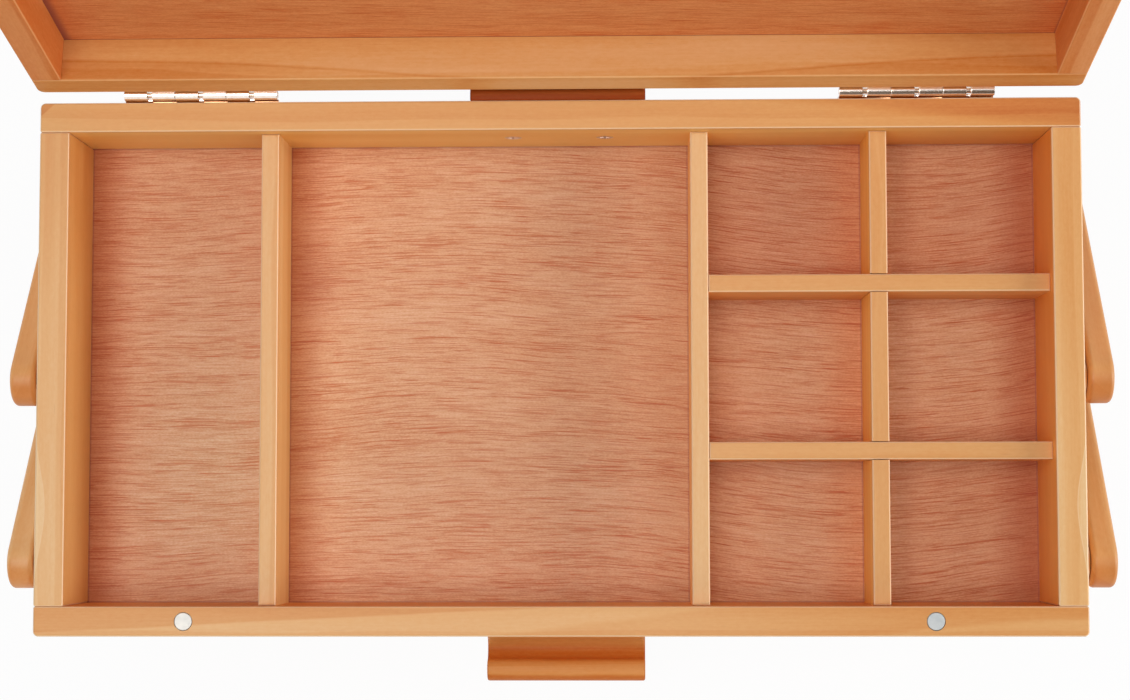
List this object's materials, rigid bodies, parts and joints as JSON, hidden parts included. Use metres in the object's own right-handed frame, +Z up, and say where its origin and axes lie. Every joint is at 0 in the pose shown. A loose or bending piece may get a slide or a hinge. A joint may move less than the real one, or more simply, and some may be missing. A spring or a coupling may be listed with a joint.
{
  "type": "sewing box",
  "caption": "Wooden sewing box: a deep base, a divided tray that swings over it on side arms, and a hinged lid.",
  "frame": {"origin": "middle of the base's underside, which is the face it stands on", "axes": "+X along the length to the right, +Y to the rear where the hinges are, +Z up"},
  "size_m": [0.427, 0.3008, 0.4046],
  "materials": {
    "solid_wood": "clear satin varnish over warm yellow-orange softwood boards",
    "plywood": "satin varnished reddish plywood with short dark pores along X",
    "hinge_brass": "bright plated",
    "screw_steel": "satin",
    "magnet_plate": "satin nickel plate"
  },
  "bodies": {
    "base": {"base_front_wall": "solid_wood", "base_rear_wall": "solid_wood", "base_left_wall": "solid_wood", "base_right_wall": "solid_wood", "base_floor": "plywood", "front_pull": "solid_wood", "front_pull_screws": "screw_steel", "lower_pivot_spacers": "solid_wood", "lower_pivot_screws": "screw_steel"},
    "arm_front_left": {"arm_front_left": "solid_wood"},
    "arm_rear_left": {"arm_rear_left": "solid_wood"},
    "arm_front_right": {"arm_front_right": "solid_wood"},
    "arm_rear_right": {"arm_rear_right": "solid_wood"},
    "tray": {"tray_front_wall": "solid_wood", "tray_rear_wall": "solid_wood", "tray_left_wall": "solid_wood", "tray_right_wall": "solid_wood", "tray_floor": "plywood", "left_divider": "solid_wood", "centre_divider": "solid_wood", "grid_long_divider": "solid_wood", "grid_front_divider": "solid_wood", "grid_rear_divider": "solid_wood", "tray_magnets": "magnet_plate", "rear_pull": "solid_wood", "rear_pull_screws": "screw_steel", "upper_pivot_spacers": "solid_wood", "upper_pivot_screws": "screw_steel", "left_hinge_tray_leaf": "hinge_brass", "right_hinge_tray_leaf": "hinge_brass", "left_hinge_pin": "hinge_brass", "right_hinge_pin": "hinge_brass", "tray_hinge_screws": "hinge_brass"},
    "lid": {"lid_front_rail": "solid_wood", "lid_rear_rail": "solid_wood", "lid_left_rail": "solid_wood", "lid_right_rail": "solid_wood", "lid_panel": "plywood", "lid_magnets": "magnet_plate", "left_hinge_lid_leaf": "hinge_brass", "right_hinge_lid_leaf": "hinge_brass", "lid_hinge_screws": "hinge_brass"}
  },
  "joints": [
    {"name": "arm_front_left_swing", "type": "hinge", "parent": "base", "child": "arm_front_left", "pos_m": [-0.2085, 0.00373, 0.1198], "axis": [-1, 0, 0], "range_deg": [0, 103.37]},
    {"name": "tray_swing", "type": "hinge", "parent": "base", "child": "arm_rear_left", "pos_m": [-0.2085, 0.07473, 0.1198], "axis": [-1, 0, 0], "range_deg": [0, 103.37]},
    {"name": "arm_front_right_swing", "type": "hinge", "parent": "base", "child": "arm_front_right", "pos_m": [0.2085, 0.00373, 0.1198], "axis": [-1, 0, 0], "range_deg": [0, 103.37]},
    {"name": "arm_rear_right_swing", "type": "hinge", "parent": "base", "child": "arm_rear_right", "pos_m": [0.2085, 0.07473, 0.1198], "axis": [-1, 0, 0], "range_deg": [0, 103.37]},
    {"name": "tray_level", "type": "hinge", "parent": "arm_rear_left", "child": "tray", "pos_m": [-0.2085, -0.00373, 0.1818], "axis": [1, 0, 0], "range_deg": [0, 103.37]},
    {"name": "lid_hinge", "type": "hinge", "parent": "tray", "child": "lid", "pos_m": [0, 0.1052, 0.20245], "axis": [1, 0, 0], "range_deg": [0, 103]}
  ],
  "couplings": [
    {"joint": "arm_front_left_swing", "follows": "tray_swing", "ratio": 1},
    {"joint": "arm_front_right_swing", "follows": "tray_swing", "ratio": 1},
    {"joint": "arm_rear_right_swing", "follows": "tray_swing", "ratio": 1},
    {"joint": "tray_level", "follows": "tray_swing", "ratio": 1}
  ]
}
